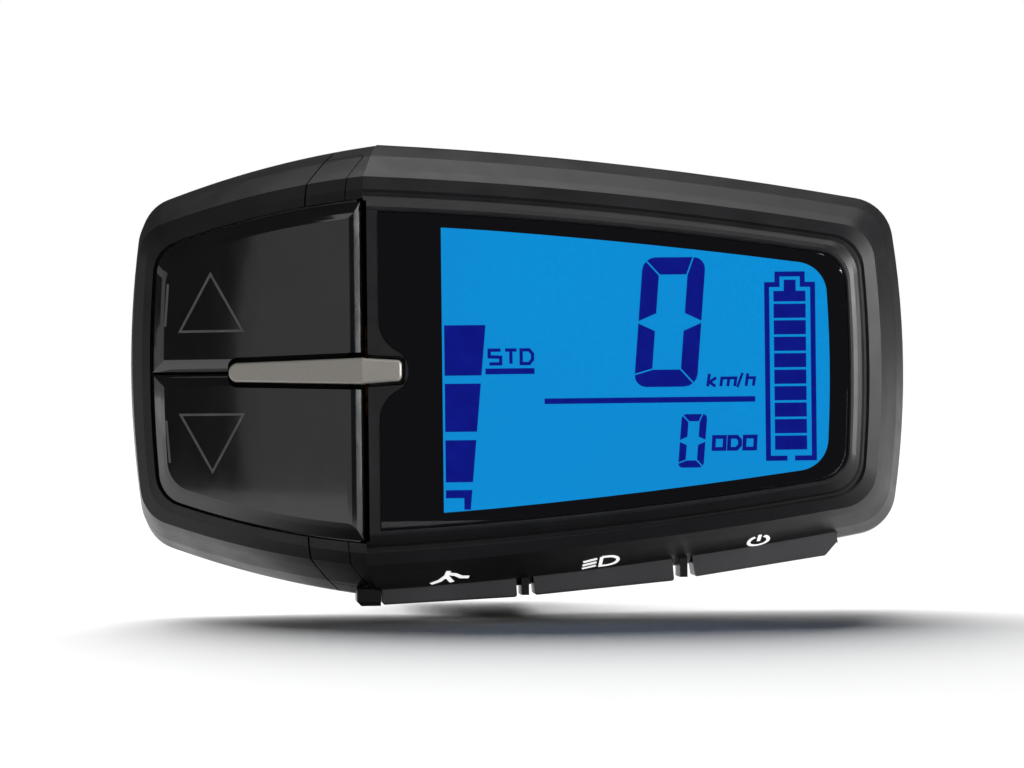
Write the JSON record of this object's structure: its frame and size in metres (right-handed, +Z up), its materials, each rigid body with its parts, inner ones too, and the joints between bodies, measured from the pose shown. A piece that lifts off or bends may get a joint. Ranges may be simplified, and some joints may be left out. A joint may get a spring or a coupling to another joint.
{
  "type": "instrument cluster",
  "caption": "Handlebar display unit with a tapered LCD, an angled two-button thumb panel split by a metal bar, edge buttons on its lower wall and a split clamp behind.",
  "frame": {"origin": "centre of the handlebar clamp's bore", "axes": "+X along the handlebar to the rider's right, +Z up the display's short side, the display faces -Y"},
  "size_m": [0.0865, 0.0517, 0.051],
  "materials": {
    "shell_black": "fine spark-eroded black plastic",
    "key_gloss": "polished piano-black plastic",
    "edge_key_black": "satin black plastic",
    "bar_champagne": "bead-blasted, champagne grey",
    "lens_clear": "clear hard-coated window",
    "mask_black": "gloss black printed border",
    "lcd_blue": "lit blue liquid crystal cell",
    "guide_white": "milky light guide",
    "tray_white": "white moulded plastic",
    "gasket_grey": "foam tape",
    "zebra_rubber": "layered conductive rubber",
    "silicone_black": "soft silicone",
    "carrier_black": "moulded plastic",
    "board_green": "solder-masked circuit board",
    "chip_black": "moulded epoxy",
    "connector_white": "natural nylon",
    "component_metal": "plain metal cans",
    "flex_amber": "polyimide film",
    "actuator_white": "acetal",
    "clamp_black": "glass-filled nylon",
    "liner_rubber": "soft rubber sleeve",
    "screw_black": "black oxide steel",
    "screw_steel": "zinc-plated steel"
  },
  "bodies": {
    "housing": {"display_bezel": "shell_black", "switch_bezel": "shell_black", "rear_case": "shell_black", "upper_seam_cover": "shell_black", "lower_seam_cover": "shell_black", "display_lens": "lens_clear", "lens_mask": "mask_black", "lens_gasket": "gasket_grey", "lcd_glass": "lcd_blue", "light_guide": "guide_white", "lcd_tray": "tray_white", "zebra_strip": "zebra_rubber", "divider_bar": "bar_champagne", "up_switch": "chip_black", "down_switch": "chip_black", "switch_keypad": "silicone_black", "switch_carrier": "carrier_black", "switch_board": "board_green", "board_spacers": "carrier_black", "main_board": "board_green", "mcu_chip": "chip_black", "board_connector": "connector_white", "board_parts": "component_metal", "flex_cable": "flex_amber", "walk_switch": "chip_black", "light_switch": "chip_black", "power_switch": "chip_black", "clamp_base": "clamp_black", "clamp_cap": "clamp_black", "clamp_liner": "liner_rubber", "case_screws": "screw_black", "board_screws": "screw_steel", "clamp_bolts": "screw_steel", "clamp_nuts": "screw_steel", "bracket_screws": "screw_steel", "cable_grommet": "silicone_black"},
    "up_key": {"up_button": "key_gloss", "up_dome": "silicone_black", "up_actuator": "actuator_white"},
    "down_key": {"down_button": "key_gloss", "down_dome": "silicone_black", "down_actuator": "actuator_white"},
    "walk_key": {"walk_button": "edge_key_black", "walk_actuator": "actuator_white"},
    "light_key": {"light_button": "edge_key_black", "light_actuator": "actuator_white"},
    "power_key": {"power_button": "edge_key_black", "power_actuator": "actuator_white"}
  },
  "joints": [
    {"name": "up_press", "type": "slide", "parent": "housing", "child": "up_key", "axis": [0.454, 0.891, 0], "range_m": [0, 0.0005], "stiffness_N_per_m": 1000, "springref_m": -0.0015},
    {"name": "down_press", "type": "slide", "parent": "housing", "child": "down_key", "axis": [0.454, 0.891, 0], "range_m": [0, 0.0005], "stiffness_N_per_m": 1000, "springref_m": -0.0015},
    {"name": "walk_press", "type": "slide", "parent": "housing", "child": "walk_key", "axis": [-0.0436, 0, 0.999], "range_m": [0, 0.0004], "stiffness_N_per_m": 1000, "springref_m": -0.0015},
    {"name": "light_press", "type": "slide", "parent": "housing", "child": "light_key", "axis": [-0.0872, 0, 0.9962], "range_m": [0, 0.0004], "stiffness_N_per_m": 1000, "springref_m": -0.0015},
    {"name": "power_press", "type": "slide", "parent": "housing", "child": "power_key", "axis": [-0.1444, 0, 0.9895], "range_m": [0, 0.0004], "stiffness_N_per_m": 1000, "springref_m": -0.0015}
  ]
}
